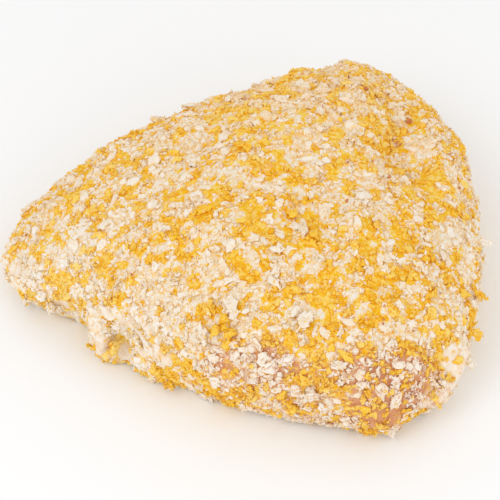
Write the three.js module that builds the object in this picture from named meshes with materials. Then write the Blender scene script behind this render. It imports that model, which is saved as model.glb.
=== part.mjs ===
// Breaded stuffed chicken breast, closed and uncut, lying on its flat underside.
// Millimetres, +Z up. The narrow tip points to -X and the blunt end to +X; the long, folded side faces -Y.
// It is one piece, a pad of meat in a coat of crumbs. The end of its folded flap makes a step in the outline.
import * as THREE from "three";

// Driving dimensions.
const HEIGHT = 38; // the thickest part of the pad
const TIP_HEIGHT = 18; // the crest's height over the narrow tip
const END_HEIGHT = 31; // and over the blunt end
const CREST = { x: 8, y: 2 }; // where the pad is thickest, in plan
const TIP_X = -65;
const END_X = 62;
const FULLNESS = 2.6; // power of the superellipse that the top's section follows; 2 is an ellipse
const BLEND = 0.09; // share of the way round over which the outline's steps are evened out by the crest
const SAMPLES = [-1 / 2, -1 / 3, -1 / 6, 0, 1 / 6, 1 / 3, 1 / 2]; // where the evening out reads the rim

// Facets: between two points of the rim, from the rim to the crest, and from the underside to the rim.
const ALONG = 6;
const UP = 20;
const DOWN = 6;

// The pad's plan outline at its widest level, counter-clockwise from the tip.
// Each point also says how high that level is, and how far the underside draws in below it.
const RIM = [
  { x: -66, y: 4, level: 10, tuck: 9 },
  { x: -64, y: -7, level: 9, tuck: 8 },
  { x: -56, y: -14, level: 8, tuck: 7 },
  { x: -46, y: -17, level: 8, tuck: 5 },
  { x: -43, y: -23, level: 8, tuck: 3 },
  { x: -41, y: -29, level: 8, tuck: 2 },
  { x: -36, y: -31, level: 8, tuck: 3 },
  { x: -33, y: -30, level: 8, tuck: 3 },
  { x: -29, y: -35, level: 9, tuck: 4 },
  { x: -21, y: -39, level: 10, tuck: 5 },
  { x: -8, y: -45, level: 11, tuck: 5 },
  { x: 7, y: -50, level: 11, tuck: 6 },
  { x: 22, y: -53, level: 11, tuck: 7 },
  { x: 35, y: -56, level: 10, tuck: 8 },
  { x: 51, y: -43, level: 11, tuck: 9 },
  { x: 60, y: -20, level: 13, tuck: 9 },
  { x: 62, y: 8, level: 14, tuck: 9 },
  { x: 59, y: 34, level: 15, tuck: 10 },
  { x: 48, y: 54, level: 15, tuck: 10 },
  { x: 34, y: 63, level: 16, tuck: 10 },
  { x: 20, y: 62, level: 16, tuck: 10 },
  { x: 4, y: 54, level: 15, tuck: 10 },
  { x: -20, y: 46, level: 14, tuck: 10 },
  { x: -44, y: 34, level: 12, tuck: 9 },
  { x: -60, y: 18, level: 11, tuck: 9 },
];

// Mounds and valleys of the top, each along a line in plan: it fades over its width, and rises or sinks.
const RELIEF = [
  { from: [40, 42], to: [42, 16], width: 6, rise: -4.5 },
  { from: [42, 16], to: [50, 2], width: 7, rise: -2 },
  { from: [30, 44], to: [36, 30], width: 4.5, rise: 1.5 },
  { from: [22, 56], to: [26, 46], width: 6, rise: -2 },
  { from: [52, 30], to: [54, 18], width: 8, rise: 2 },
];

// The rim at a share u of the way round, on a closed Catmull-Rom curve through its points.
function rimAt(u) {
  const turn = (u - Math.floor(u)) * RIM.length;
  const i = Math.floor(turn);
  const t = turn - i;
  const along = (key) => {
    const [a, b, c, d] = [-1, 0, 1, 2].map((k) => RIM[(i + k + RIM.length) % RIM.length][key]);
    const slope = c - a;
    const bend = 2 * a - 5 * b + 4 * c - d;
    const twist = 3 * (b - c) + d - a;
    return b + 0.5 * t * (slope + t * (bend + t * twist));
  };
  return { x: along("x"), y: along("y"), level: along("level"), tuck: along("tuck") };
}

// The rim evened out over a width, as a share of the way round.
function evenedRim(u, width) {
  const near = SAMPLES.map((sample) => rimAt(u + sample * width));
  const mean = (key) => near.reduce((sum, rim) => sum + rim[key], 0) / near.length;
  return { x: mean("x"), y: mean("y"), level: mean("level"), tuck: mean("tuck") };
}

// The crest's height along the pad: a parabola to the tip and another to the blunt end.
function crestHeight(x) {
  const [end, low] = x < CREST.x ? [TIP_X, TIP_HEIGHT] : [END_X, END_HEIGHT];
  return HEIGHT - (HEIGHT - low) * ((x - CREST.x) / (end - CREST.x)) ** 2;
}

// How far all mounds and valleys together lift or sink a point of the plan.
function relief(x, y) {
  const point = new THREE.Vector3(x, y, 0);
  const nearest = new THREE.Vector3();
  return RELIEF.reduce((sum, { from, to, width, rise }) => {
    const line = new THREE.Line3(new THREE.Vector3(...from), new THREE.Vector3(...to));
    line.closestPointToPoint(point, true, nearest);
    return sum + rise * Math.exp(-((point.distanceTo(nearest) / width) ** 2));
  }, 0);
}

// A point of the pad: row 0 is the underside's edge, DOWN the rim, and DOWN + UP the crest.
function padPoint(row, u) {
  const below = row < DOWN;
  const angle = ((below ? row / DOWN : (row - DOWN) / UP) * Math.PI) / 2;
  const rise = below ? 0 : Math.sin(angle) ** (2 / FULLNESS);
  const rim = evenedRim(u, BLEND * rise);
  const out = { x: rim.x - CREST.x, y: rim.y - CREST.y };
  const drawn = (rim.tuck / Math.hypot(out.x, out.y)) * (1 - Math.sin(angle));
  const share = below ? 1 - drawn : Math.cos(angle) ** (2 / FULLNESS);
  const x = CREST.x + share * out.x;
  const y = CREST.y + share * out.y;
  if (below) return [x, y, rim.level * (1 - Math.cos(angle))];
  return [x, y, rim.level + (crestHeight(x) - rim.level + relief(x, y)) * rise];
}

// The closed skin of the pad, with the middle of its bounding box over the origin.
function padGeometry() {
  const rows = DOWN + UP;
  const around = ALONG * RIM.length;
  const points = [];
  for (let row = 0; row < rows; row++)
    for (let a = 0; a < around; a++) points.push(...padPoint(row, a / around));
  const bottom = rows * around;
  const top = bottom + 1;
  const last = (rows - 1) * around;
  points.push(CREST.x, CREST.y, 0, ...padPoint(rows, 0));
  const faces = [];
  for (let a = 0; a < around; a++) {
    const b = (a + 1) % around;
    for (let low = 0; low < last; low += around)
      faces.push(low + a, low + b, low + around + b, low + a, low + around + b, low + around + a);
    faces.push(bottom, b, a, top, last + a, last + b);
  }
  const geometry = new THREE.BufferGeometry()
    .setAttribute("position", new THREE.Float32BufferAttribute(points, 3))
    .setIndex(faces);
  geometry.computeBoundingBox();
  const middle = geometry.boundingBox.getCenter(new THREE.Vector3());
  return geometry.translate(-middle.x, -middle.y, 0);
}

const breast = new THREE.Mesh(
  padGeometry(),
  new THREE.MeshStandardMaterial({ color: 0xf0cb85, roughness: 0.85, metalness: 0 }),
);
breast.name = "chicken_breast";
const part = new THREE.Group();
part.add(breast);
export default part;
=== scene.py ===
"""Looks of a breaded, stuffed chicken breast.

The core is the breast itself: moist meat under a granular bed of crumbs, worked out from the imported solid.
Loose breadcrumbs, white and yellow, lie over it as joined meshes of true size, one piece for each kind.
Lengths are in millimetres until a mesh is made.
"""

import math

import bpy
import numpy as np
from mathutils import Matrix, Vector
from mathutils.bvhtree import BVHTree

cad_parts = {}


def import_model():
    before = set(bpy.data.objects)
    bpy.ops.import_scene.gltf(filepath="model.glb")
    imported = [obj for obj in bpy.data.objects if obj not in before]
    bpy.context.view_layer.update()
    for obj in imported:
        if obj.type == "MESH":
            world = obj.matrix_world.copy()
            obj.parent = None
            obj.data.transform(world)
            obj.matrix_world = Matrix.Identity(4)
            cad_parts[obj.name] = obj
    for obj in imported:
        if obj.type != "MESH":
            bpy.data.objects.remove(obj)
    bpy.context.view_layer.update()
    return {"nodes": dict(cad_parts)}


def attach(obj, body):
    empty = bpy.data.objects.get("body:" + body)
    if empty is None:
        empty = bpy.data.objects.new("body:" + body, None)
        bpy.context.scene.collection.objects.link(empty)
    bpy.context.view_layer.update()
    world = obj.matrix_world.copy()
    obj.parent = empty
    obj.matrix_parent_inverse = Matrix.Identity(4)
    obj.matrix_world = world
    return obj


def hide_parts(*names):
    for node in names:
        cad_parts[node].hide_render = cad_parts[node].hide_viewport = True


MM = 0.001
SEED = 20
SEEDS = dict(bare=31, paste=35, yellow=41, lumps=51, bed=61, uneven=71, rough=73, strands=81)  # of the noises

# The core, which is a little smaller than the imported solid, to leave room for the crumbs.
VOXEL = 0.85
SMOOTHING = 10
INSET = 0.9
LUMPS = [(17, 1.1), (7.5, 0.85), (3.6, 0.42), (1.9, 0.25)]  # size and height of each layer of unevenness
BROAD_LUMP = 5  # lumps above this size stay as high where the coat is bare or pasty
PLAIN_FLATTENS = 0.6  # how much lower the smaller ones are there
BED_CRUMB, BED_CRUMB_HEIGHT, BED_CRUMB_LEVEL = 1.7, 0.45, 0.4  # the rounded crumbs of the bed itself
PLAIN_SMOOTHS = 0.8  # how much lower those are where the coat is bare or pasty
UNDERSIDE_TURN = (-0.6, -0.95)  # how far down the surface faces where the underside starts and is complete
UNDERSIDE_FLATTENS = 0.7  # how much more even the underside is

# Lumps and hollows along the edges: centre, radius and height.
BUMPS = [
    ((-6, 40, 28), 5, 1.3),
    ((-12.5, 33, 29.5), 3.5, -0.9),
    ((-20, 34, 26.5), 3.5, -0.5),
    ((6, 41, 31), 4, -0.7),
    ((16, 50, 28.5), 4, 0.9),
    ((28, 55, 26), 3.5, 0.8),
    ((41, 48, 26.5), 5, -0.8),
    ((52, 43, 23), 4, 0.9),
    ((59, 28, 20), 3.5, 1.0),
    ((64, 12, 17), 3.5, 0.8),
    ((-57, 9, 14), 7, 1.0),
    ((-63, -2, 11), 5, 1.0),
    ((64, -14, 14), 6, -0.7),
    ((61, -27, 13), 5, -0.7),
    ((45, -55, 6), 5, -0.8),
    ((-47, 19, 18.5), 5, 0.6),
]
# Where the coat is yellower than elsewhere, paler (partly painted light) or duller (partly painted shade),
# bare or pasty: centre, radius, and how much that adds.
YELLOW_PATCHES = [
    ((37, 34, 33), 4, 0.6),
    ((35, 23, 34), 6, 0.4),
    ((29, 41, 32), 7, -0.25),
    ((49, 7, 28), 6, 0.65),
    ((47, -11, 30), 5, -0.3),
    ((59, -3, 23), 6, -0.35),
    ((33, -29, 34), 7, 0.5),
    ((15, -53, 21), 5, 0.3),
    ((19, -47, 29), 7, 0.1),
    ((30, -55, 24), 4, 0.2),
    ((60, -30, 15), 4, 0.35),
    ((19, -22, 36), 6, 0.3),
    ((21, -36, 34), 3, 0.25),
    ((9, -27, 36), 4, -0.35),
    ((6, -12, 38), 10, 0.25),
    ((30, -42, 31), 8, 0.15),
    ((4, 25, 36), 13, 0.05),
    ((26, 46, 30), 12, -0.05),
    ((15, 49, 29), 3, 0.5),
    ((22.5, 45, 31), 3, 0.5),
    ((9.5, 35, 34), 3.5, 0.55),
    ((-2, 26, 35), 3.5, 0.4),
    ((0.5, 17, 37), 3.5, 0.35),
    ((-17, 4, 34), 8, -0.15),
    ((-31, 9, 29), 7, -0.2),
    ((-57, -12, 13), 8, -0.35),
    ((-43, -18, 19), 7, -0.05),
    ((-37, -8, 26), 9, -0.1),
    ((-56, -16, 8), 2.5, 1.0),
    ((-47, -19, 11), 3, 0.7),
    ((-17, -38, 24), 7, -0.3),
    ((-8, -46, 20), 6, -0.35),
    ((-19, -42, 7), 3, 0.8),
    ((33, -60, 12), 6, 0.3),
    ((57, -34, 10), 6, -0.4),
    ((-32, -31, 17), 5, -0.3),
]
# Paler patches are partly painted light, at the tip, the front and the right edge; duller ones are partly
# painted shade, along the back and on top.
PALE_AND_LIGHT_PATCHES = [
    ((-57, -12, 13), 10, 0.6),
    ((-42, -18, 19), 9, 0.5),
    ((-38, -7, 25), 11, 0.5),
    ((-33, -33, 10), 9, 0.7),
    ((-48, -19, 6), 7, 0.5),
    ((-18, -40, 20), 8, 0.5),
    ((61, -5, 20), 8, 0.4),
    ((57, -35, 10), 8, 0.4),
    ((0, 40, 31), 14, -0.5),
    ((25, 42, 32), 14, -0.6),
    ((48, 38, 26), 12, -0.3),
    ((8, 22, 36), 20, -0.3),
    ((45, 10, 30), 16, -0.3),
    ((-25, 15, 32), 12, -0.2),
    ((10, -50, 20), 14, 0.3),
    ((-28, -36, 12), 9, 0.5),
]
BARE_PATCHES = [
    ((42, -54, 18), 6, 0.9),
    ((34, -57, 19), 5.5, 0.65),
    ((34, -60, 12), 5, 0.5),
    ((8, -50, 24), 6, 0.25),
    ((-6, -46, 20), 5, 0.2),
    ((41, 22, 30), 3, 0.3),
    ((28, -49, 26), 5, 0.25),
]
PASTY_PATCHES = [
    ((-48, -20, 5), 5, 1.1),
    ((-60, -9, 9), 5, 0.7),
    ((-56, 2, 15), 8, 0.3),
    ((-26, 31, 24), 7, 0.3),
    ((39, 27, 30), 4, 0.35),
    ((-52, -17, 13), 3, 0.6),
    ((-39, -30, 12), 4, 0.8),
    ((-36, -34, 8), 4, 0.9),
    ((-31, -34, 4), 5, 1.0),
    ((-27, -37, 12), 4, 0.8),
    ((54, -43, 14), 6, 0.9),
    ((56, -38, 7), 6, 0.8),
    ((49, -51, 7), 6, 0.8),
]
# Folds and creases at the corner beside the tip, the lip of batter at the other corner, and the crease near
# the blunt end: the line that each follows, its half width, and its height, less than 0 for a crease.
FOLDS = [
    ([(-39, -28, 15), (-38, -32, 13), (-36, -34, 9), (-38, -33, 4)], 2.3, 1.4),
    ([(-33, -31, 21), (-29, -33, 17), (-26, -37, 17), (-23, -40, 16), (-20, -42, 13)], 1.5, 1.2),
    ([(-27, -32, 21), (-25, -36, 20), (-23, -38.5, 19), (-20.5, -41, 17), (-18, -43, 13)], 1.3, 1.7),
    ([(-31, -33, 3), (-29, -35, 5)], 2.0, 1.0),
    ([(57, -40, 14), (54.5, -44, 12), (52, -48, 10), (49, -51, 8)], 2.2, 2.6),
    ([(-35, -33, 17), (-33.5, -34, 13), (-32, -34, 9), (-33, -34, 5)], 1.6, -1.4),
    ([(41, 28, 28.5), (42, 21, 28.8), (40, 12, 31)], 2.6, -1.2),
    ([(-27.5, -34, 19), (-25, -38, 18), (-23.5, -40, 16)], 0.9, -1.3),
    ([(-21, -40, 18), (-19.5, -42, 16), (-17, -44, 12)], 1.1, -1.2),
]
DEEP_CREASE = 2.5  # how deep a crease is that counts as 1
PASTE_FOLD = 1.8  # how high a fold is that is all paste
FRONT_X, FRONT_Y, FRONT_Z = (-18, -4), (-40, -48), (31, 24)  # where the front starts and is complete
FRONT_BARENESS = 0.27
YELLOW_SHARE, YELLOW_LIMITS = 0.46, (0.03, 0.97)
BARE_NOISE = [(6, 0.35), (2.6, 0.3)]  # size and height of each layer, here and below
PASTE_NOISE = [(3, 0.3)]
YELLOW_NOISE = [(11, 0.1), (3.1, 0.55), (1.7, 0.45)]

# Kinds of crumb that lie on the bed: colour, how many at most, range of sizes, spacing as a share of the
# size, detail of the mesh, half sizes along, across and through it as shares of the size, how uneven and how
# jagged its outline is, how deep it reaches into the bed, how far it may tilt and rise, the shares of them
# that bare meat and the places besides the front keep, and how readily splinters stand on it.
FLAKE = dict(
    spacing=0.4, detail=4, halves=[(0.42, 0.58), (0.2, 0.34), (0.14, 0.24)], uneven=(0.5, 0.22), skirt=0.3,
    tilt=(0.05, 0.35), rise=(-0.1, 0.2), on_meat=0.8, besides=0.25, perches=3,
)
CRUMB = dict(
    spacing=0.4, detail=3, halves=[(0.42, 0.58), (0.3, 0.44), (0.12, 0.21)], uneven=(0.45, 0.25), skirt=0.6,
    tilt=(0, 0.25), rise=(-0.35, 0), on_meat=0.4, besides=1, perches=1,
)
GRAIN = dict(
    spacing=0.4, detail=2, halves=[(0.42, 0.58), (0.3, 0.44), (0.22, 0.36)], uneven=(0.4, 0.25), skirt=0.4,
    tilt=(0, 0.5), rise=(-0.1, 0.15), on_meat=0.4, besides=1, perches=0.5,
)
KINDS = {
    "flakes_white": dict(FLAKE, colour="white", most=700, size=(1.8, 5.2)),
    "flakes_yellow": dict(FLAKE, colour="yellow", most=420, size=(1.7, 4.0)),
    "crumbs_white": dict(CRUMB, colour="white", most=4080, size=(1.6, 3.8)),
    "crumbs_yellow": dict(CRUMB, colour="yellow", most=2900, size=(1.5, 3.4)),
    "grains_white": dict(GRAIN, colour="white", most=1500, size=(0.9, 1.5)),
    "grains_yellow": dict(GRAIN, colour="yellow", most=1000, size=(0.9, 1.5)),
    "specks_brown": dict(GRAIN, colour="brown", most=60, size=(0.4, 0.8), rise=(0.2, 0.6), perches=0),
}
# Crumbs and clumps that catch the eye: where each lies, which way it points, how long it is, and how many
# crumbs make it up.
FEATURED = {
    "flakes_white": [
        ((-39.3, -29.5, 12), (0.1, -0.4, -0.9), 4.6, 3),
        ((-26.5, -37, 15), (0.5, -0.6, -0.5), 4.8, 3),
        ((-50.5, -18.5, 7), (0.8, -0.4, -0.2), 4.6, 3),
        ((11.6, -50.9, 24.2), (0.4, -0.4, -0.8), 5.2, 1),
        ((18, -55, 19), (0.1, -0.3, -1), 6.5, 3),
        ((-10, -42.5, 24.5), (0.1, -0.6, -0.8), 4.8, 1),
        ((16, -43.3, 31.6), (0.5, 0.6, 0.3), 4.2, 1),
        ((2.1, -41.9, 30), (0.8, 0.3, 0.1), 4.0, 2),
        ((-2.4, -39, 30.4), (0.3, -0.7, -0.6), 4.4, 1),
        ((24.5, -52.8, 25.3), (0.9, 0.2, 0.3), 4.6, 1),
        ((-28.5, 30, 24), (-0.1, 0.3, 1), 5.6, 2),
        ((7.9, 16.6, 37), (1, 0.8, 0), 5.0, 2),
        ((29.4, 16.1, 35.6), (0.5, -0.9, 0), 7.5, 4),
        ((63.7, -5.5, 18), (1, 0.1, 0.1), 5.0, 1),
        ((58, -42, 13), (0.8, -0.4, -0.2), 3.4, 1),
    ],
    "crumbs_white": [
        ((-53, -13.4, 15.6), (0.4, -0.7, -0.3), 6.5, 7),
        ((-35.7, -22.8, 20.6), (0.3, -0.7, -0.4), 6.0, 6),
        ((-10.3, -6, 35.5), (0.9, 0.3, 0), 5.5, 6),
        ((9.5, -23.5, 36.6), (0.6, -0.8, 0), 6.5, 6),
        ((8.9, -31.5, 34.9), (0.1, -1, -0.3), 6.0, 5),
        ((29.3, -6.8, 36), (1, 0.2, 0), 5.2, 6),
        ((56.5, -40.5, 14), (-0.3, -0.6, -0.4), 5.0, 5),
        ((51, -49, 13), (-0.5, -0.7, 0.2), 5.5, 5),
    ],
    "flakes_yellow": [
        ((60.5, -36, 16.8), (0.9, -0.1, -0.1), 3.2, 1),
        ((62, -24, 18.5), (0.7, -0.3, -0.4), 3.4, 1),
        ((-19.2, -42, 3.4), (0.1, -0.3, -0.9), 4.0, 3),
    ],
    "specks_brown": [
        ((42, 21.6, 29), (0.6, -0.8, 0), 2.4, 4),
        ((33, 39.3, 32.8), (0.5, -0.8, 0), 2.0, 3),
        ((45.7, 31.3, 27.8), (0.9, 0.4, 0), 2.2, 3),
        ((38.3, 3.5, 34), (0.5, 0.8, 0), 1.2, 1),
        ((27.2, -7.5, 37), (0.5, 0.8, 0), 0.9, 1),
        ((34.3, 8.3, 35.2), (0.5, 0.8, 0), 0.8, 1),
    ],
    "crumbs_yellow": [
        ((-33.2, -34.4, 10.5), (0.1, -0.1, -1), 6.0, 6),
        ((-38, -32.5, 5), (0.5, -0.3, -0.6), 3.2, 3),
        ((-23.2, -40.4, 9), (0.6, -0.5, -0.6), 4.8, 6),
        ((-3.9, -42.9, 27), (0.3, -0.7, -0.6), 6.8, 9),
        ((12, -54.6, 11.5), (0.5, -0.2, -0.6), 6.4, 9),
        ((1.3, -51, 11), (0.1, -0.2, -0.9), 4.6, 5),
        ((9.8, -46.5, 28), (0.7, 0.4, 0.3), 4.4, 5),
        ((46.2, -15.7, 30.5), (0.3, -0.8, -0.2), 4.4, 4),
        ((48.4, -19.7, 29.3), (0.3, -0.8, -0.3), 5.2, 6),
        ((38.6, -38.4, 30), (0.2, -0.8, -0.5), 4.8, 5),
        ((22.8, -45.4, 30.6), (0.5, -0.6, -0.3), 5.6, 6),
        ((10.3, -10.4, 37.4), (0.9, -0.5, 0), 7.0, 7),
        ((0.3, 11.6, 36.7), (0.9, -0.7, 0), 6.0, 6),
        ((18.9, -21.4, 36.6), (0.9, -0.5, 0), 7.0, 7),
    ],
}
# Kinds of splinter that stick out of the crumbs and the bed: the same, and how many stand on each.
SPLINTER = dict(
    detail=1, halves=[(0.35, 0.65), (0.14, 0.42), (0.12, 0.34)], uneven=(0.3, 0), skirt=0, tilt=(0.1, 0.6),
    rise=(0, 0.3), spacing=0.2, on_meat=0.3, besides=1, perches=0,
)
SPLINTERS = {
    "splinters_white": dict(SPLINTER, colour="white", on_crumbs=21300, on_bed=3500, size=(0.5, 1.5)),
    "splinters_yellow": dict(SPLINTER, colour="yellow", on_crumbs=21500, on_bed=3000, size=(0.5, 1.4)),
}
# Where crumbs thin out: the ranges of bareness, of pastiness and of facing down over which they do, and the
# shares of them that paste and the underside lose, and the front too, of all kinds but flakes.
MEAT_SHOWS, PASTE_SHOWS, UNDERSIDE = (0.35, 0.8), (0.25, 0.65), (-0.5, -0.9)
PASTE_CLEARS, UNDERSIDE_CLEARS, FRONT_CLEARS = 0.85, 0.85, 0.3
OWN_COLOUR = (0.32, 0.62)  # the range of the share of a colour over which crumbs of it set in
PLACE_JITTER = 0.3
CRUMB_BIAS, SPLINTER_BIAS = 2.5, 2  # how strongly small ones outnumber large ones, where 1 is not at all

# The crumbs of a clump: how far they lie along and beside its line, as shares of its length, how freely
# they turn, how much shorter than it they are, and how far they sink into the bed.
CLUMP_SPREAD, CLUMP_WIDTH, CLUMP_TURN, CLUMP_SHORTER, CLUMP_SINK = 0.4, 0.12, 0.6, (0.45, 0.7), 0.55
FEATURED_LIFT = (0, 0, 0.2)  # turns crumbs that catch the eye a little upwards
FEATURED_PULL = 50  # how firmly they point their way
FEATURED_PERCHES = 5  # how many times as many splinters they have as others of their kind
FEATURED_SHADE = {"white": 0.8, "yellow": 0.25, "brown": 0.5}

# The shape of a crumb: the layers and limits of its unevenness, its knobs, how thin it is where those get
# lower, and how far each corner is out of place.
UNEVEN_NOISE, UNEVEN_LIMITS = [(0.8, 1), (0.4, 0.5)], (0.35, 1.9)
ROUGHNESS = [(1.1, 0.34), (0.5, 0.28)]
THIN = 0.4
JITTER = 0.12
NOISE_SPAN = 500  # over how much of the noise the crumbs are spread, so that no two are alike

STRAND_SIZE = 3.0  # over what length splinters line up with their neighbours
STRAND_PULL = 6  # how firmly they do, where 0 is not at all
STRAY = 0.12  # how readily a splinter stands on a crumb of another colour, where 1 is as on its own
PERCH_TURN, PERCH_HEIGHT = -0.1, 0.4  # how far down a splinter's perch may face, and how low it may be
SHADE_CHANGE = 0.12  # how much a splinter's shade differs from its crumb's
# How far the paleness, with its painted light and painted shade, shifts a crumb's shade.
PALE_AND_LIGHT_GAIN = 1.1
FLOOR_GAP = (0.02, 0.3)  # how far above the ground a crumb's flattened side may lie
UV_MARGIN = 0.06

# The painted shade: hidden corners of crumbs, bed and paste are coloured darker and warmer.
# How hidden a corner is: how many rays look around, how far they lean, where they start, how far they reach.
RAYS, RAY_LEAN, RAY_START, REACH = 4, 45, 0.05, 1.6
OPEN_LEAN = 0.7  # how far the way out from a corner leans to the side that its crumb faces
SIDE_TURN, SIDE_SHADE = (0.4, -0.2), 0.3  # painted shade on the sides of a crumb: how hidden they count as, besides that
CREASE_SHADE = 0.5  # painted shade in a crease: how hidden it counts as, besides that


# Noise ---------------------------------------------------------------------------------------------------


def lattice(cells, seed):
    """A repeatable number from 0 to 1 for each whole-number cell."""
    x, y, z = (cells[..., i].astype(np.uint64) for i in range(3))
    mixed = x * np.uint64(73856093) ^ y * np.uint64(19349663) ^ z * np.uint64(83492791)
    mixed ^= np.uint64(seed * 2654435761 + 12345)
    for _ in range(2):
        mixed = (mixed ^ (mixed >> np.uint64(29))) * np.uint64(0xBF58476D1CE4E5B9)
    mixed ^= mixed >> np.uint64(32)
    return (mixed >> np.uint64(11)).astype(np.float64) / float(1 << 53)


def noise(points, size, seed):
    """Smooth noise from -1 to 1, with lumps of about the given size."""
    scaled = points / size
    cell = np.floor(scaled).astype(np.int64)
    share = scaled - cell
    share = share * share * (3 - 2 * share)
    total = np.zeros(points.shape[:-1])
    for corner in np.ndindex(2, 2, 2):
        weight = np.prod(np.where(corner, share, 1 - share), axis=-1)
        total += weight * lattice(cell + np.array(corner), seed)
    return total * 2 - 1


def lumpiness(points, size, seed):
    """Rounded lumps with creases between them, from 0 in a crease to 1 on a lump."""
    scaled = points / size
    cell = np.floor(scaled).astype(np.int64)
    nearest = np.full(points.shape[:-1], 9.0)
    for step in np.ndindex(3, 3, 3):
        other = cell + np.array(step) - 1
        centre = other + np.stack([lattice(other, seed + k) for k in (1, 2, 3)], -1)
        nearest = np.minimum(nearest, ((scaled - centre) ** 2).sum(-1))
    return 1 - np.minimum(np.sqrt(nearest), 1)


def layered(points, layers, seed):
    """Noise of several sizes at once: size and height of each layer."""
    return sum(height * noise(points, size, seed + i) for i, (size, height) in enumerate(layers))


def patches(points, spots):
    """How much round patches add at each point: centre, radius and gain of each."""
    total = np.zeros(len(points))
    for centre, radius, gain in spots:
        apart = ((points - np.array(centre)) ** 2).sum(-1)
        total += gain * np.exp(-apart / radius**2)
    return total


def unit(ways):
    """The same directions, with a length of 1."""
    return ways / np.linalg.norm(ways, axis=-1)[..., None]


def smoothstep(low, high, value):
    """A smooth rise from 0 at the low value to 1 at the high one."""
    share = np.clip((value - low) / (high - low), 0, 1)
    return share * share * (3 - 2 * share)


# Where the coat is thick, and where it is yellow ----------------------------------------------------------


def frontness(points):
    """1 on the side that faces -Y, where the crumbs are coarse and loose, and 0 elsewhere."""
    x, y, z = points.T
    return smoothstep(*FRONT_Y, y) * smoothstep(*FRONT_Z, z) * smoothstep(*FRONT_X, x)


def bareness(points):
    """How bare the meat is, from 0 to 1."""
    uneven = layered(points, BARE_NOISE, SEEDS["bare"])
    bare = FRONT_BARENESS * frontness(points) + patches(points, BARE_PATCHES) * (1 + uneven)
    return np.clip(bare, 0, 1)


def pastiness(points):
    """How much the coat is smooth, wet paste rather than crumbs, from 0 to 1."""
    uneven = layered(points, PASTE_NOISE, SEEDS["paste"])
    along = sum(height / PASTE_FOLD * nearness(points, line, width) for line, width, height in FOLDS)
    return np.clip((patches(points, PASTY_PATCHES) + along) * (1 + uneven), 0, 1)


def crease_depth(points):
    """How deep in a crease between folds, from 0 to about 1."""
    depths = [(line, width, max(0, -height) / DEEP_CREASE) for line, width, height in FOLDS]
    return sum(depth * nearness(points, line, width) for line, width, depth in depths)


def nearness(points, line, width):
    """How near points are to a line through places: 1 on it, falling over the given half width."""
    line = np.array(line, float)
    least = np.full(len(points), np.inf)
    for start, end in zip(line, line[1:]):
        way = end - start
        share = np.clip((points - start) @ way / (way @ way), 0, 1)
        least = np.minimum(least, ((points - start - share[:, None] * way) ** 2).sum(-1))
    return np.exp(-least / width**2)


def yellowness(points):
    """The share of crumbs that are yellow."""
    uneven = layered(points, YELLOW_NOISE, SEEDS["yellow"])
    share = YELLOW_SHARE + uneven + crease_depth(points) + patches(points, YELLOW_PATCHES)
    return np.clip(share, *YELLOW_LIMITS)


def paleness_and_light(points):
    """How much whiter the coat is than elsewhere, or less than 0 where it is duller: partly its own tone,
    partly painted light at the tip and front and painted shade along the back.
    """
    return patches(points, PALE_AND_LIGHT_PATCHES)


# How hidden each corner is, which sets the painted shade ----------------------------------------------------


def tree_of(meshes):
    """A search tree of all the triangles of some meshes, in millimetres."""
    places = [coordinates(mesh) / MM for mesh in meshes]
    starts = np.cumsum([0] + [len(p) for p in places])
    triangles = []
    for mesh, start in zip(meshes, starts):
        mesh.calc_loop_triangles()
        found = np.empty(len(mesh.loop_triangles) * 3, np.int32)
        mesh.loop_triangles.foreach_get("vertices", found)
        triangles.append(found.reshape(-1, 3) + start)
    places, triangles = np.concatenate(places).tolist(), np.concatenate(triangles).tolist()
    return BVHTree.FromPolygons(places, triangles, all_triangles=True)


def hiddenness(tree, places, outward):
    """How closely each place is shut in by what stands around it, from 0 in the open to 1 in a crack."""
    axis = np.where(np.abs(outward[:, :1]) < 0.6, [[1, 0, 0]], [[0, 1, 0]])
    aside = unit(np.cross(outward, axis))
    other = np.cross(outward, aside)
    lean = math.radians(RAY_LEAN)
    total = np.zeros(len(places))
    for turn in np.arange(RAYS) * 2 * math.pi / RAYS:
        sideways = math.cos(turn) * aside + math.sin(turn) * other
        ways = math.cos(lean) * outward + math.sin(lean) * sideways
        starts = places + ways * RAY_START
        hits = (tree.ray_cast(start, way, REACH)[3] for start, way in zip(starts.tolist(), ways.tolist()))
        total += [0 if hit is None else 1 - hit / REACH for hit in hits]
    return total / RAYS


# Meshes --------------------------------------------------------------------------------------------------


def coordinates(mesh, name="co"):
    """The places of a mesh's corners, or their normals."""
    found = np.empty(len(mesh.vertices) * 3, np.float32)
    mesh.vertices.foreach_get(name, found)
    return found.reshape(-1, 3).astype(np.float64)


def new_piece(name, mesh, material):
    """A visible piece that is fixed to the part's body."""
    piece = bpy.data.objects.new(name, mesh)
    bpy.context.scene.collection.objects.link(piece)
    mesh.materials.clear()
    mesh.materials.append(material)
    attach(piece, "root")
    return piece


def evaluated_copy(source, modifiers):
    """A new mesh: the source's, with the modifiers applied, each given as its type and settings."""
    helper = bpy.data.objects.new("helper", source.copy())
    bpy.context.scene.collection.objects.link(helper)
    for kind, settings in modifiers:
        modifier = helper.modifiers.new(kind.lower(), kind)
        for key, value in settings.items():
            setattr(modifier, key, value)
    graph = bpy.context.evaluated_depsgraph_get()
    mesh = bpy.data.meshes.new_from_object(helper.evaluated_get(graph))
    bpy.data.objects.remove(helper)
    return mesh


def store(mesh, name, values):
    """Keeps one number for each vertex, for the material to read."""
    mesh.attributes.new(name, "FLOAT", "POINT").data.foreach_set("value", values.astype(np.float32))


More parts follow.
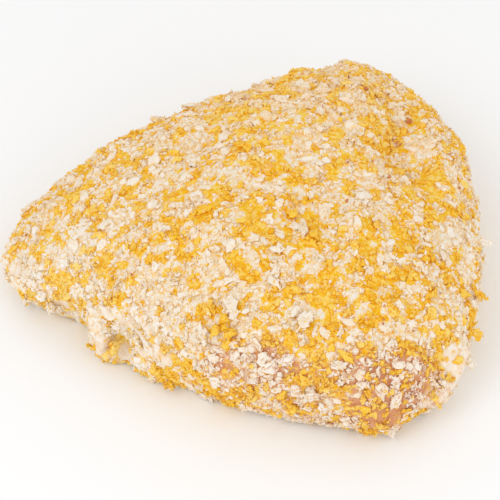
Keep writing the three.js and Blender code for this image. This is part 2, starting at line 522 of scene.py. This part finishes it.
def core_height(points, normals, plain):
    """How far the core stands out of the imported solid, less where the coat is plain paste or meat."""
    height = -INSET * np.ones(len(points))
    for i, (size, gain) in enumerate(LUMPS):
        flat = 1 if size > BROAD_LUMP else 1 - PLAIN_FLATTENS * plain
        height += gain * flat * noise(points, size, SEEDS["lumps"] + i)
    for line, width, rise in FOLDS:
        height += rise * nearness(points, line, width)
    height += patches(points, BUMPS)
    crumbs = lumpiness(points, BED_CRUMB, SEEDS["bed"]) - BED_CRUMB_LEVEL
    height += BED_CRUMB_HEIGHT * (1 - PLAIN_SMOOTHS * plain) * crumbs
    return height * (1 - UNDERSIDE_FLATTENS * smoothstep(*UNDERSIDE_TURN, normals[:, 2]))


def make_core(cad):
    """The mesh of the core, and its corners' places and normals in millimetres."""
    remesh = ("REMESH", dict(mode="VOXEL", voxel_size=VOXEL * MM))
    smooth = ("SMOOTH", dict(factor=0.5, iterations=SMOOTHING))
    mesh = evaluated_copy(cad.data, [remesh, smooth])
    points, normals = coordinates(mesh) / MM, coordinates(mesh, "normal")
    bare, pasty = bareness(points), pastiness(points)
    points += normals * core_height(points, normals, np.maximum(bare, pasty))[:, None]
    points[:, 2] = np.maximum(points[:, 2], 0)
    mesh.vertices.foreach_set("co", (points * MM).astype(np.float32).ravel())
    store(mesh, "bare", bare)
    store(mesh, "pasty", pasty)
    store(mesh, "yellow", yellowness(points))
    # Paleness, partly painted light and painted shade, for the bed's colour.
    store(mesh, "pale_and_light", paleness_and_light(points))
    mesh.shade_smooth()
    mesh.update()
    return mesh, points, coordinates(mesh, "normal")


# Crumbs --------------------------------------------------------------------------------------------------


def folded_ball(detail):
    """A ball as an octahedron unfolds into a square, fine above and plain below.

    Gives its places, its faces, and its faces' corners in the square.
    """
    steps = np.arange(-detail, detail + 1) / detail
    u, v = (part.ravel() for part in np.meshgrid(steps, steps, indexing="ij"))
    height = 1 - np.abs(u) - np.abs(v)
    below = height < -1e-9
    x, y = np.where(below, 0, u), np.where(below, 0, v)
    z = np.where(below, -1, np.maximum(height, 0))
    places = unit(np.stack([x, y, z], 1))
    unique, index = np.unique(np.round(places, 6), axis=0, return_inverse=True)
    index = index.ravel()
    side = 2 * detail + 1
    faces = []
    for i in range(2 * detail):
        for j in range(2 * detail):
            a, b = i * side + j, (i + 1) * side + j
            c, d = b + 1, a + 1
            falls = (i < detail) == (j < detail)
            faces += [(a, b, d), (b, c, d)] if falls else [(a, b, c), (a, c, d)]
    faces = np.array([face for face in faces if len(set(index[list(face)])) == 3])
    square = (np.stack([u, v], 1) + 1) / 2
    return unique, index[faces], square[faces]


def thin_out(points, spacing, count):
    """Picks points in their given order that keep their distance from each other, up to a count."""
    cells = {}
    kept = []
    cell_size = float(spacing.max())
    for i, (point, gap) in enumerate(zip(points, spacing)):
        home = tuple(np.floor(point / cell_size).astype(int))
        near = (
            j
            for dx in (-1, 0, 1)
            for dy in (-1, 0, 1)
            for dz in (-1, 0, 1)
            for j in cells.get((home[0] + dx, home[1] + dy, home[2] + dz), ())
        )
        if all(((points[j] - point) ** 2).sum() > gap * gap for j in near):
            cells.setdefault(home, []).append(i)
            kept.append(i)
            if len(kept) == count:
                break
    return np.array(kept)


def crumb_axes(settings, at, up, ways, chance):
    """Three axes for each crumb: the first ones point their ways, and splinters lie as the bread was torn."""
    tilt = chance.uniform(*settings["tilt"], len(at))
    tilt[: len(ways)] = 0
    strands = strand_directions(at) if settings["detail"] == SPLINTER["detail"] else np.zeros((len(at), 3))
    strands[: len(ways)] = FEATURED_PULL * np.cross(ways, up[: len(ways)])
    up = unit(up + tilt[:, None] * chance.normal(size=up.shape))
    along = unit(np.cross(up, strands + chance.normal(size=up.shape)))
    return np.stack([along, np.cross(up, along), up], 1)


def random_sizes(span, bias, count, chance):
    """Sizes in a range, more of them small than large."""
    low, high = span
    return low + (high - low) * chance.random(count) ** bias


def cover(settings, surface, normals):
    """The share of the crumbs of a kind that each place keeps."""
    front = frontness(surface)
    share = 1 - (1 - settings["on_meat"]) * smoothstep(*MEAT_SHOWS, bareness(surface))
    share *= 1 - PASTE_CLEARS * smoothstep(*PASTE_SHOWS, pastiness(surface))
    share *= 1 - (1 - settings["besides"]) * (1 - front)
    if settings["besides"] == 1:
        share *= 1 - FRONT_CLEARS * front
    return share * (1 - UNDERSIDE_CLEARS * smoothstep(*UNDERSIDE, normals[:, 2]))


def scatter(settings, most, surface, normals, chance):
    """Picks where the crumbs of a kind lie: places, up directions and sizes."""
    yellow = yellowness(surface)
    wanted = yellow if settings["colour"] == "yellow" else 1 - yellow
    likely = cover(settings, surface, normals) * smoothstep(*OWN_COLOUR, wanted)
    able = chance.permutation(np.flatnonzero(chance.random(len(surface)) < likely))
    size = random_sizes(settings["size"], CRUMB_BIAS, len(able), chance)
    at = surface[able] + chance.uniform(-PLACE_JITTER, PLACE_JITTER, (len(able), 3))
    kept = thin_out(at, size * settings["spacing"], most)
    return at[kept], normals[able][kept], size[kept]


def featured(name, surface, normals, chance):
    """The crumbs of a piece that catch the eye: places, up directions, sizes and the ways they point."""
    at, ways, size, sink = [np.zeros((0, 3))], [np.zeros((0, 3))], [np.zeros(0)], [np.zeros(0)]
    for place, way, length, count in FEATURED.get(name, []):
        loose = 0 if count == 1 else 1
        way = unit(np.array(way, float))
        along = loose * length * chance.uniform(-CLUMP_SPREAD, CLUMP_SPREAD, (count, 1))
        beside = loose * CLUMP_WIDTH * length * chance.normal(size=(count, 3))
        at.append(place + along * way + beside)
        ways.append(unit(way + loose * CLUMP_TURN * chance.normal(size=(count, 3))))
        size.append(length * (1 - loose * chance.uniform(*CLUMP_SHORTER, count)))
        sink.append(np.full(count, CLUMP_SINK * loose))
    at, ways, size, sink = (np.concatenate(part) for part in (at, ways, size, sink))
    if not len(at):
        return at, at, size, ways
    nearest = [((surface - place) ** 2).sum(1).argmin() for place in at]
    up = normals[nearest] + np.array(FEATURED_LIFT)
    up = unit(up - ways * (up * ways).sum(1)[:, None])
    return at - sink[:, None] * up, up, size, ways


def crumb_shapes(ball, size, settings, chance):
    """Ragged crumbs about the origin, each lying flat: an array of crumbs by corners by axes."""
    count = len(size)
    apart = chance.uniform(-NOISE_SPAN, NOISE_SPAN, (count, 1, 3))
    halves = np.stack([chance.uniform(*span, count) for span in settings["halves"]], 1) * size[:, None]
    smooth, jagged = settings["uneven"]
    uneven = smooth * layered(ball[None] + apart, UNEVEN_NOISE, SEEDS["uneven"])
    uneven += jagged * chance.normal(size=uneven.shape) * (1 - ball[None, :, 2] ** 2)
    local = ball[None] * np.clip(1 + uneven, *UNEVEN_LIMITS)[..., None] * halves[:, None]
    for i, (knob, height) in enumerate(ROUGHNESS):
        rough = height * noise(local + apart, knob, SEEDS["rough"] + i)[..., None]
        local += ball[None] * rough * np.minimum(1, halves[:, None] / THIN)
    rim_and_below = ball[None, :, 2] < 0.01
    local[..., 2] -= settings["skirt"] * rim_and_below
    return local + JITTER * chance.normal(size=local.shape)


def strand_directions(points):
    """A direction at each place, much the same over a few millimetres: the way the bread was torn."""
    parts = [noise(points, STRAND_SIZE, SEEDS["strands"] + axis) for axis in range(3)]
    return STRAND_PULL * np.stack(parts, 1)


def own_cells(count, square):
    """Where the corners of each crumb's faces lie in the texture, with a square cell for each crumb."""
    columns = math.ceil(math.sqrt(count))
    cells = np.stack([np.arange(count) % columns, np.arange(count) // columns], 1)
    return (cells[:, None, None] + UV_MARGIN + (1 - 2 * UV_MARGIN) * square[None]) / columns


def make_crumbs(name, settings, size, at, up, rise, shade, ways, chance):
    """A mesh of crumbs, with what the splinters and the painted shade of its corners need."""
    count = len(at)
    ball, faces, square = folded_ball(settings["detail"])
    local = crumb_shapes(ball, size, settings, chance)
    axes = crumb_axes(settings, at, up, ways, chance)
    places = np.einsum("nvk,nkx->nvx", local, axes) + (at + up * rise[:, None])[:, None]
    outward = np.einsum("vk,nkx->nvx", ball, axes)
    lowest = chance.uniform(*FLOOR_GAP, count)
    places[..., 2] = np.maximum(places[..., 2], lowest[:, None])

    corners = own_cells(count, square)
    triangles = faces[None] + (np.arange(count) * len(ball))[:, None, None]
    mesh = triangle_mesh(name, places.reshape(-1, 3) * MM, triangles.reshape(-1, 3), corners.reshape(-1, 2))
    # The crumb's shade takes in the paleness, which is partly painted light and painted shade.
    pale_and_light = paleness_and_light(at)
    pale_and_light = np.abs(pale_and_light) if settings["colour"] == "yellow" else pale_and_light
    store(mesh, "shade", np.repeat(shade + PALE_AND_LIGHT_GAIN * pale_and_light, len(ball)))
    store(mesh, "bare", np.repeat(bareness(at), len(ball)))
    print(name, count, "crumbs", len(mesh.polygons), "triangles")
    return dict(
        name=name,
        colour=settings["colour"],
        mesh=mesh,
        places=places,
        outward=outward,
        open_way=unit(outward + OPEN_LEAN * up[:, None]),
        facing=np.einsum("nvx,nx->nv", outward, up),
        shade=shade,
        perches=settings["perches"] * np.where(np.arange(count) < len(ways), FEATURED_PERCHES, 1),
    )


def loose_crumbs(name, settings, surface, normals, chance):
    """Crumbs that lie on the bed, those that catch the eye first."""
    *first, ways = featured(name, surface, normals, chance)
    others = scatter(settings, settings["most"], surface, normals, chance)
    at, up, size = (np.concatenate(pair) for pair in zip(first, others))
    rise = chance.uniform(*settings["rise"], len(at))
    shade = chance.random(len(at))
    shade[: len(ways)] = FEATURED_SHADE[settings["colour"]]
    return make_crumbs(name, settings, size, at, up, rise, shade, ways, chance)


def pick_perches(settings, bodies, chance):
    """Corners of crumbs for splinters to stand on: places, outward directions and shades."""
    corners = [body["places"].shape[1] for body in bodies]
    places = np.concatenate([body["places"].reshape(-1, 3) for body in bodies])
    outward = np.concatenate([body["outward"].reshape(-1, 3) for body in bodies])
    facing = np.concatenate([body["facing"].ravel() for body in bodies])
    shade = np.concatenate([np.repeat(body["shade"], n) for body, n in zip(bodies, corners)])
    shares = [1 if body["colour"] == settings["colour"] else STRAY for body in bodies]
    likings = (np.repeat(body["perches"] * share, n) for body, share, n in zip(bodies, shares, corners))
    liking = np.concatenate(list(likings)) * (facing > PERCH_TURN) * (places[:, 2] > PERCH_HEIGHT)
    order = np.argsort(chance.random(len(liking)) / np.maximum(liking, 1e-9))
    picked = order[: settings["on_crumbs"]]
    return places[picked], outward[picked], shade[picked]


def make_splinters(name, settings, bodies, surface, normals, chance):
    """Splinters that stick out of the crumbs and of the bed."""
    perches, outward, shade = pick_perches(settings, bodies, chance)
    at, up, _ = scatter(settings, settings["on_bed"], surface, normals, chance)
    shade = np.concatenate([shade + chance.normal(0, SHADE_CHANGE, len(perches)), chance.random(len(at))])
    rise = np.concatenate([np.zeros(len(perches)), chance.uniform(*settings["rise"], len(at))])
    at = np.concatenate([perches, at])
    up = np.concatenate([outward, up])
    size = random_sizes(settings["size"], SPLINTER_BIAS, len(at), chance)
    return make_crumbs(name, settings, size, at, up, rise, np.clip(shade, 0, 1), np.zeros((0, 3)), chance)


def triangle_mesh(name, places, triangles, corners):
    """A mesh of triangles, with the places of their corners in the texture."""
    mesh = bpy.data.meshes.new(name)
    mesh.vertices.add(len(places))
    mesh.vertices.foreach_set("co", places.astype(np.float32).ravel())
    mesh.loops.add(triangles.size)
    mesh.loops.foreach_set("vertex_index", triangles.astype(np.int32).ravel())
    mesh.polygons.add(len(triangles))
    mesh.polygons.foreach_set("loop_start", np.arange(0, triangles.size, 3, dtype=np.int32))
    mesh.update(calc_edges=True)
    mesh.shade_flat()
    layer = mesh.uv_layers.new(name="OFBake")
    layer.uv.foreach_set("vector", corners.astype(np.float32).ravel())
    return mesh


# Materials -----------------------------------------------------------------------------------------------


class Nodes:
    """Small helper that adds nodes to a material and links them."""

    def __init__(self, name):
        self.material = bpy.data.materials.new(name)
        self.material.use_nodes = True
        self.tree = self.material.node_tree
        self.shader = self.tree.nodes["Principled BSDF"]

    def put(self, socket, value):
        if isinstance(value, bpy.types.NodeSocket):
            self.tree.links.new(value, socket)
        else:
            socket.default_value = value

    def add(self, kind, output=0, settings=None, **inputs):
        node = self.tree.nodes.new(kind)
        for key, value in (settings or {}).items():
            setattr(node, key, value)
        for key, value in inputs.items():
            self.put(node.inputs[key.replace("_", " ")], value)
        return node.outputs[output]

    def surface(self, name, value):
        """Sets one of the shader's own inputs."""
        self.put(self.shader.inputs[name], value)

    def bump(self, height, most):
        """Makes the surface look uneven, by the given height at the most."""
        settings = dict(Height=height, Strength=BUMP_STRENGTH, Distance=most * MM)
        self.surface("Normal", self.add("ShaderNodeBump", "Normal", **settings))

    def number(self, name):
        """A number that the mesh keeps for each corner."""
        return self.add("ShaderNodeAttribute", "Fac", dict(attribute_name=name))

    def noise(self, size, detail, roughness):
        place = self.add("ShaderNodeTexCoord", "Object")
        settings = dict(Scale=1 / (size * MM), Detail=detail, Roughness=roughness)
        return self.add("ShaderNodeTexNoise", "Fac", Vector=place, **settings)

    def ramp(self, value, stops, colours):
        node = self.tree.nodes.new("ShaderNodeValToRGB")
        self.put(node.inputs[0], value)
        band = node.color_ramp
        while len(band.elements) < len(stops):
            band.elements.new(1)
        for element, stop, colour in zip(band.elements, stops, colours):
            element.position = stop
            element.color = (*colour, 1)
        return node.outputs["Color"]

    def mix(self, share, a, b):
        node = self.tree.nodes.new("ShaderNodeMix")
        node.data_type = "RGBA"
        self.put(node.inputs[0], share)
        for socket, value in ((node.inputs[6], a), (node.inputs[7], b)):
            self.put(socket, (*value, 1) if isinstance(value, tuple) else value)
        return node.outputs[2]

    def maths(self, operation, a, b=0.0, c=0.0, clamp=False):
        node = self.tree.nodes.new("ShaderNodeMath")
        node.operation = operation
        node.use_clamp = clamp
        for socket, value in zip(node.inputs, (a, b, c)):
            self.put(socket, value)
        return node.outputs[0]

    def scaled(self, value, gain, offset):
        return self.maths("MULTIPLY_ADD", value, gain, offset)

    def spread(self, value, low, high):
        """0 below the low value, 1 above the high one, and a straight rise between them."""
        node = self.tree.nodes.new("ShaderNodeMapRange")
        for socket, number in zip(node.inputs, (value, low, high, 0.0, 1.0)):
            self.put(socket, number)
        return node.outputs[0]


def linear(red, green, blue):
    """A colour as read from a screen, 0 to 255, in the numbers that a shader takes."""
    return tuple(
        (c / 255 / 12.92) if c <= 10.3 else ((c / 255 + 0.055) / 1.055) ** 2.4 for c in (red, green, blue)
    )


WHITE = [linear(240, 198, 140), linear(249, 226, 190), linear(249, 235, 215), linear(249, 242, 233)]
YELLOW = [linear(246, 180, 12), linear(252, 195, 20), linear(253, 207, 50), linear(252, 223, 136)]
# Painted shade: the warm colours that hidden corners of crumbs and the bed turn to.
MEATY_PAINTED_SHADE = [linear(220, 146, 94), linear(206, 126, 74)]
WHITE_PAINTED_SHADE = [linear(252, 222, 160), linear(248, 196, 112)]
YELLOW_PAINTED_SHADE = [linear(251, 188, 22), linear(247, 163, 10)]
BED = [linear(252, 206, 130), linear(250, 218, 162), linear(249, 229, 197), linear(249, 239, 224)]
GOLD = [linear(247, 179, 12), linear(251, 191, 20), linear(253, 202, 46), linear(253, 218, 118)]
MEAT = [linear(198, 122, 76), linear(214, 148, 102), linear(230, 174, 132)]
BROWNED = [linear(192, 108, 64), linear(204, 124, 78), linear(214, 140, 94), linear(222, 158, 114)]
PASTE = [linear(247, 204, 140), linear(247, 221, 188), linear(249, 234, 215), linear(250, 243, 234)]
CRUMB_STOPS = (0.05, 0.35, 0.65, 0.95)  # where each colour lies, from the darkest to the lightest
BED_STOPS = (0.05, 0.3, 0.55, 0.85)
MEAT_STOPS = (0.3, 0.5, 0.7)
PASTE_STOPS = (0.1, 0.35, 0.6, 0.85)
PAINTED_SHADE_DEPTHS = ((0.15, 0.7), (0.6, 1))  # how hidden a corner is where each painted shade colour sets in
BREAD_NOISE, BED_NOISE, MEAT_NOISE = (0.33, 4, 0.9), (0.6, 4, 0.75), (3.5, 5, 0.65)  # size, detail, roughness
EDGE_NOISE, PASTE_LUMPS = (1.5, 3, 0.6), (2.2, 3, 0.6)
BREAD_BUMP, BED_BUMP, BUMP_STRENGTH = 0.16, 0.35, 0.8  # height of the finest unevenness
BED_CELL, CELL_WOBBLE, WOBBLE_SIZE = 1.3, 0.9, 0.6  # how large a crumb of the bed is, and how ragged
STREAK_WAY, STREAK, STREAK_SIZE = (0.55, -0.7, -0.45), 4, 0.8  # which way the paste is drawn out, and how far
EDGE = (0.28, 0.45)  # over which values meat and paste set in


def crumb_material(name, colours, shade_colours):
    """Bread: lighter or darker by its shade, mottled, with painted shade that makes it darker and warmer
    where it is hidden.
    """
    nodes = Nodes(name)
    fine = nodes.noise(*BREAD_NOISE)
    # Painted shade: where a corner is hidden it is darker and turns to the warm shade colours.
    painted_shade = nodes.number("painted_shade")
    level = nodes.scaled(nodes.number("shade"), 0.4, -0.2)
    level = nodes.maths("ADD", level, nodes.scaled(painted_shade, -0.5, 0.76))
    level = nodes.maths("ADD", level, nodes.scaled(fine, 4.0, -2.0), clamp=True)
    colour = nodes.ramp(level, CRUMB_STOPS, colours)
    meaty = nodes.spread(nodes.number("bare"), 0.1, 0.5)
    for (start, end), own, meat in zip(PAINTED_SHADE_DEPTHS, shade_colours, MEATY_PAINTED_SHADE):
        shaded = nodes.spread(painted_shade, start, end)
        colour = nodes.mix(shaded, colour, nodes.mix(meaty, own, meat))
    nodes.surface("Base Color", colour)
    nodes.surface("Roughness", 0.75)
    nodes.surface("Specular IOR Level", 0.2)
    nodes.bump(fine, BREAD_BUMP)
    return nodes.material


def bed_cells(nodes, place):
    """The crumbs of the bed: how far each point is from its crumb's middle, and two random numbers."""
    scale = 1 / (WOBBLE_SIZE * MM)
    wobble = nodes.add("ShaderNodeTexNoise", "Color", Vector=place, Scale=scale, Detail=3.0)
    ragged = nodes.tree.nodes.new("ShaderNodeVectorMath")
    ragged.operation = "MULTIPLY_ADD"
    for socket, value in zip(ragged.inputs, (wobble, (CELL_WOBBLE * MM,) * 3, place)):
        nodes.put(socket, value)
    cell = nodes.tree.nodes.new("ShaderNodeTexVoronoi")
    nodes.put(cell.inputs["Vector"], ragged.outputs[0])
    nodes.put(cell.inputs["Scale"], 1 / (BED_CELL * MM))
    apart = nodes.tree.nodes.new("ShaderNodeSeparateColor")
    nodes.put(apart.inputs[0], cell.outputs["Color"])
    return cell.outputs["Distance"], apart.outputs[0], apart.outputs[1]


def granular_bed(nodes, distance, own, other, grain):
    """The colour of the bed of fine crumbs, with painted shade at the edges of its crumbs and where it is
    hidden.
    """
    # Painted shade: the bed is darker at the edges of its crumbs and where it is hidden.
    grain_edge_shade = nodes.spread(distance, 0.3, 0.75)
    level = nodes.scaled(grain, 1.5, -0.2)
    level = nodes.maths("ADD", level, nodes.scaled(own, 0.4, -0.2))
    level = nodes.maths("ADD", level, nodes.maths("MULTIPLY", grain_edge_shade, -0.6))
    level = nodes.maths("ADD", level, nodes.scaled(nodes.number("painted_shade"), -1.0, 0.4))
    # Paleness, partly painted light and painted shade, lightens or dulls the bed.
    pale_and_light = nodes.maths("MULTIPLY", nodes.number("pale_and_light"), 0.4)
    share = nodes.maths("SUBTRACT", nodes.number("yellow"), nodes.scaled(other, 0.5, 0.25))
    white = nodes.ramp(nodes.maths("ADD", level, pale_and_light), BED_STOPS, BED)
    hazy = nodes.maths("ADD", nodes.maths("ABSOLUTE", pale_and_light), nodes.maths("SUBTRACT", level, 0.08))
    return nodes.mix(nodes.spread(share, -0.04, 0.04), white, nodes.ramp(hazy, BED_STOPS, GOLD))


def paste_streaks(nodes, place):
    """Noise that is drawn out along the folds."""
    turn = Vector(STREAK_WAY).to_track_quat("Z", "Y").to_euler()
    drawn = dict(Vector=place, Rotation=turn, Scale=(1, 1, STREAK))
    drawn = nodes.add("ShaderNodeMapping", "Vector", dict(vector_type="TEXTURE"), **drawn)
    scale = 1 / (STREAK_SIZE * MM)
    return nodes.add("ShaderNodeTexNoise", "Fac", Vector=drawn, Scale=scale, Detail=4.0, Roughness=0.65)


def paste_colour(nodes, streaks):
    """The colour of smooth, wet batter, with painted shade where it is hidden."""
    level = nodes.scaled(streaks, 1.2, -0.1)
    level = nodes.maths("ADD", level, nodes.scaled(nodes.noise(*PASTE_LUMPS), 0.8, -0.35))
    # Painted shade: darker where the paste is hidden.
    level = nodes.maths("ADD", level, nodes.maths("MULTIPLY", nodes.number("painted_shade"), -0.9))
    return nodes.ramp(level, PASTE_STOPS, PASTE)


def core_material():
    """The bed of fine crumbs, with bare meat and smooth paste where the mesh says so, and painted shade in
    hidden gaps beside bare meat.
    """
    nodes = Nodes("bed_and_meat")
    place = nodes.add("ShaderNodeTexCoord", "Object")
    grain = nodes.noise(*BED_NOISE)
    distance, own, other = bed_cells(nodes, place)
    bed = granular_bed(nodes, distance, own, other, grain)
    streaks = paste_streaks(nodes, place)

    ragged_edge = nodes.scaled(nodes.noise(*EDGE_NOISE), 0.7, -0.35)
    bare = nodes.spread(nodes.maths("ADD", nodes.number("bare"), ragged_edge), *EDGE)
    pasty = nodes.spread(nodes.maths("ADD", nodes.number("pasty"), ragged_edge), *EDGE)
    meaty = nodes.spread(nodes.number("bare"), 0.05, 0.35)
    # Painted shade: hidden places beside bare meat turn to the meaty shade colour.
    gap = nodes.maths("MULTIPLY", nodes.spread(nodes.number("painted_shade"), 0.1, 0.5), meaty)
    bed = nodes.mix(gap, bed, MEATY_PAINTED_SHADE[0])
    meat = nodes.ramp(nodes.noise(*MEAT_NOISE), MEAT_STOPS, MEAT)
    coat = nodes.mix(pasty, bed, paste_colour(nodes, streaks))
    nodes.surface("Base Color", nodes.mix(bare, coat, meat))

    wet = nodes.maths("MAXIMUM", bare, pasty)
    nodes.surface("Roughness", nodes.scaled(wet, -0.32, 0.8))
    nodes.surface("Specular IOR Level", 0.35)
    height = nodes.maths("SUBTRACT", grain, nodes.maths("MULTIPLY", distance, 0.8))
    height = nodes.maths("MULTIPLY", height, nodes.scaled(wet, -0.75, 1.0))
    ridges = nodes.maths("MULTIPLY", streaks, nodes.maths("MULTIPLY", pasty, 1.4))
    height = nodes.maths("ADD", height, ridges)
    nodes.bump(height, BED_BUMP)
    return nodes.material


# Studio --------------------------------------------------------------------------------------------------


VIEW_ELEVATION = 48
VIEW_DISTANCE = 620
VIEW_TARGET = Vector((2.1, -4.1, 14.0))
LENS, SENSOR, NEAREST = 167.4, 36, 10
SKY_STRENGTH = 0.842
LIGHTS = {  # place, width and power
    "key": ((-380, -330, 560), 500, 0.95),
    "fill": ((420, -260, 300), 420, 0.34),
    "front": ((-120, -620, 110), 400, 0.22),
}
FLOOR_SIZE = 3000
FLOOR_PAINT, FLOOR_ROUGHNESS = (0.97, 0.97, 0.97, 1), 0.9


def aim(thing, place, target):
    """Puts a camera or a light at a place and turns it to a target."""
    thing.location = Vector(place) * MM
    direction = (Vector(target) - Vector(place)).normalized()
    thing.rotation_euler = direction.to_track_quat("-Z", "Y").to_euler()


def add_light(name, place, size, power):
    data = bpy.data.lights.new(name, "AREA")
    data.shape = "DISK"
    data.size = size * MM
    data.energy = power
    lamp = bpy.data.objects.new(name, data)
    bpy.context.scene.collection.objects.link(lamp)
    aim(lamp, place, VIEW_TARGET)


def make_sky(scene):
    world = scene.world or bpy.data.worlds.new("studio")
    scene.world = world
    world.use_nodes = True
    background = world.node_tree.nodes["Background"]
    background.inputs["Color"].default_value = (1, 1, 1, 1)
    background.inputs["Strength"].default_value = SKY_STRENGTH


def make_floor():
    bpy.ops.mesh.primitive_plane_add(size=FLOOR_SIZE * MM)
    floor = bpy.context.object
    floor.name = "floor"
    paint = Nodes("floor_paint")
    paint.surface("Base Color", FLOOR_PAINT)
    paint.surface("Roughness", FLOOR_ROUGHNESS)
    floor.data.materials.append(paint.material)


def make_camera(scene):
    camera = bpy.data.objects.new("camera", bpy.data.cameras.new("camera"))
    scene.collection.objects.link(camera)
    camera.data.lens = LENS
    camera.data.sensor_width = SENSOR
    camera.data.clip_start = NEAREST * MM
    up = math.radians(VIEW_ELEVATION)
    back = Vector((0, -math.cos(up), math.sin(up)))
    aim(camera, VIEW_TARGET + back * VIEW_DISTANCE, VIEW_TARGET)
    scene.camera = camera


def make_studio():
    scene = bpy.context.scene
    scene.view_settings.view_transform = "Standard"
    make_sky(scene)
    for name, (place, size, power) in LIGHTS.items():
        add_light(name, place, size, power)
    make_floor()
    make_camera(scene)


def crumb_materials():
    return {
        "white": crumb_material("white_crumb", WHITE, WHITE_PAINTED_SHADE),
        "yellow": crumb_material("yellow_crumb", YELLOW, YELLOW_PAINTED_SHADE),
        "brown": crumb_material("browned_speck", BROWNED, MEATY_PAINTED_SHADE),
    }


def lay_crumbs(core, surface, normals):
    """All the crumbs and splinters, and how hidden each corner is, by anything but splinters, which sets the
    painted shade of the crumbs and the bed.
    """
    chance = np.random.default_rng(SEED)
    bodies = [loose_crumbs(name, kind, surface, normals, chance) for name, kind in KINDS.items()]
    tree = tree_of([core] + [body["mesh"] for body in bodies])
    bodies += [
        make_splinters(name, kind, bodies, surface, normals, chance) for name, kind in SPLINTERS.items()
    ]
    # Painted shade of the bed: darker where it is hidden, and darker still in creases.
    store(core, "painted_shade", hiddenness(tree, surface, normals) + CREASE_SHADE * crease_depth(surface))
    for body in bodies:
        # Painted shade: hidden corners and the sides of crumbs are coloured darker and warmer.
        side = SIDE_SHADE * smoothstep(*SIDE_TURN, body["facing"].ravel())
        places, open_way = body["places"].reshape(-1, 3), body["open_way"].reshape(-1, 3)
        store(body["mesh"], "painted_shade", hiddenness(tree, places, open_way) + side)
    return bodies


def main():
    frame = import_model()
    mesh, surface, normals = make_core(frame["nodes"]["chicken_breast"])
    core = new_piece("breast_core", mesh, core_material())
    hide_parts("chicken_breast")
    materials = crumb_materials()
    for body in lay_crumbs(core.data, surface, normals):
        new_piece(body["name"], body["mesh"], materials[body["colour"]])
    make_studio()


main()
